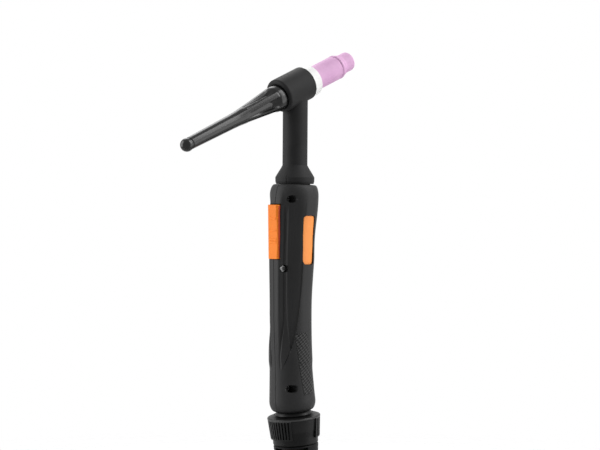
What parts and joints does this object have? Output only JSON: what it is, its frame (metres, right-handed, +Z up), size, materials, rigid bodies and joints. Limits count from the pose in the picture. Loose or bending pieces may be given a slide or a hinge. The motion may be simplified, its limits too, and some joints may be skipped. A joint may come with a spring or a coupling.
{
  "type": "tig welding torch",
  "caption": "Gas cooled TIG welding torch with a two-shell grip, press trigger, ceramic nozzle, long back cap, and a ball jointed tail with a slotted bend sleeve.",
  "frame": {"origin": "Middle of the grip, on the axis of the neck, half way between the grip's two end faces.", "axes": "+Z up the neck from grip to head, +X towards the nozzle and palm side (the trigger is on -X), +Y square to the joint plane of the two grip shells."},
  "size_m": [0.1821, 0.0426, 0.3676],
  "materials": {
    "grip_plastic": "fine matte moulded charcoal",
    "signal_orange": "satin moulded orange",
    "screw_steel": "blackened steel",
    "pin_steel": "ground steel",
    "switch_plastic": "moulded black",
    "switch_button": "moulded red",
    "contact_brass": "stamped brass",
    "head_rubber": "satin silicone rubber",
    "brass": "turned brass",
    "copper": "drawn copper",
    "white_ptfe": "waxy white PTFE",
    "tungsten": "ground tungsten",
    "alumina": "matte fired pink alumina",
    "cap_black": "gloss black phenolic",
    "seal_rubber": "black rubber",
    "joint_plastic": "matte moulded charcoal",
    "sleeve_rubber": "matte black rubber"
  },
  "bodies": {
    "torch": {"handle_left": "grip_plastic", "handle_right": "grip_plastic", "handle_screws": "screw_steel", "label_inlay": "signal_orange", "trigger_pin": "pin_steel", "switch_housing": "switch_plastic", "switch_terminals": "contact_brass", "head_cover": "head_rubber", "head_block": "brass", "neck_tube": "copper", "power_adaptor": "brass", "cup_gasket": "white_ptfe", "collet_body": "copper", "collet": "copper"},
    "electrode": {"electrode": "tungsten"},
    "nozzle": {"nozzle": "alumina"},
    "back_cap_seal": {"cap_seal": "seal_rubber"},
    "back_cap": {"back_cap": "cap_black", "cap_insert": "brass"},
    "trigger": {"trigger": "signal_orange"},
    "plunger": {"switch_plunger": "switch_button"},
    "swivel": {"swivel_ball": "joint_plastic"},
    "tail": {"swivel_cup": "joint_plastic", "cable_sleeve": "sleeve_rubber"},
    "ring_nut": {"ring_nut": "joint_plastic"}
  },
  "joints": [
    {"name": "trigger_press", "type": "hinge", "parent": "torch", "child": "trigger", "pos_m": [-0.0156, 0, 0.035], "axis": [0, 1, 0], "range_deg": [0, 3.2], "stiffness_Nm_per_rad": 2},
    {"name": "plunger_slide", "type": "slide", "parent": "torch", "child": "plunger", "axis": [1, 0, 0], "range_m": [0, 0.00145]},
    {"name": "back_cap_turn", "type": "hinge", "parent": "back_cap_seal", "child": "back_cap", "pos_m": [-0.01849, 0, 0.15938], "axis": [-0.9245, 0, -0.3811], "range_deg": [0, 720]},
    {"name": "back_cap_advance", "type": "slide", "parent": "torch", "child": "back_cap_seal", "axis": [-0.9245, 0, -0.3811], "range_m": [0, 0.0024]},
    {"name": "nozzle_turn", "type": "hinge", "parent": "torch", "child": "nozzle", "pos_m": [0.02774, 0, 0.17843], "axis": [0.9245, 0, 0.3811], "range_deg": [0, 360]},
    {"name": "electrode_slide", "type": "slide", "parent": "torch", "child": "electrode", "axis": [0.9245, 0, 0.3811], "range_m": [-0.003, 0.015]},
    {"name": "swivel_spin", "type": "hinge", "parent": "torch", "child": "swivel", "pos_m": [0.00113, 0, -0.09994], "axis": [0.1132, 0, -0.9936], "continuous": true},
    {"name": "swivel_tilt", "type": "hinge", "parent": "swivel", "child": "tail", "pos_m": [0.00113, 0, -0.09994], "axis": [0, 1, 0], "range_deg": [-10, 10]},
    {"name": "ring_nut_turn", "type": "hinge", "parent": "tail", "child": "ring_nut", "pos_m": [0.00113, 0, -0.09994], "axis": [0.1132, 0, -0.9936], "range_deg": [0, 90]}
  ],
  "couplings": [
    {"joint": "plunger_slide", "follows": "trigger_press", "m_per_rad": 0.025},
    {"joint": "back_cap_advance", "follows": "back_cap_turn", "m_per_rad": 0.00015915}
  ]
}
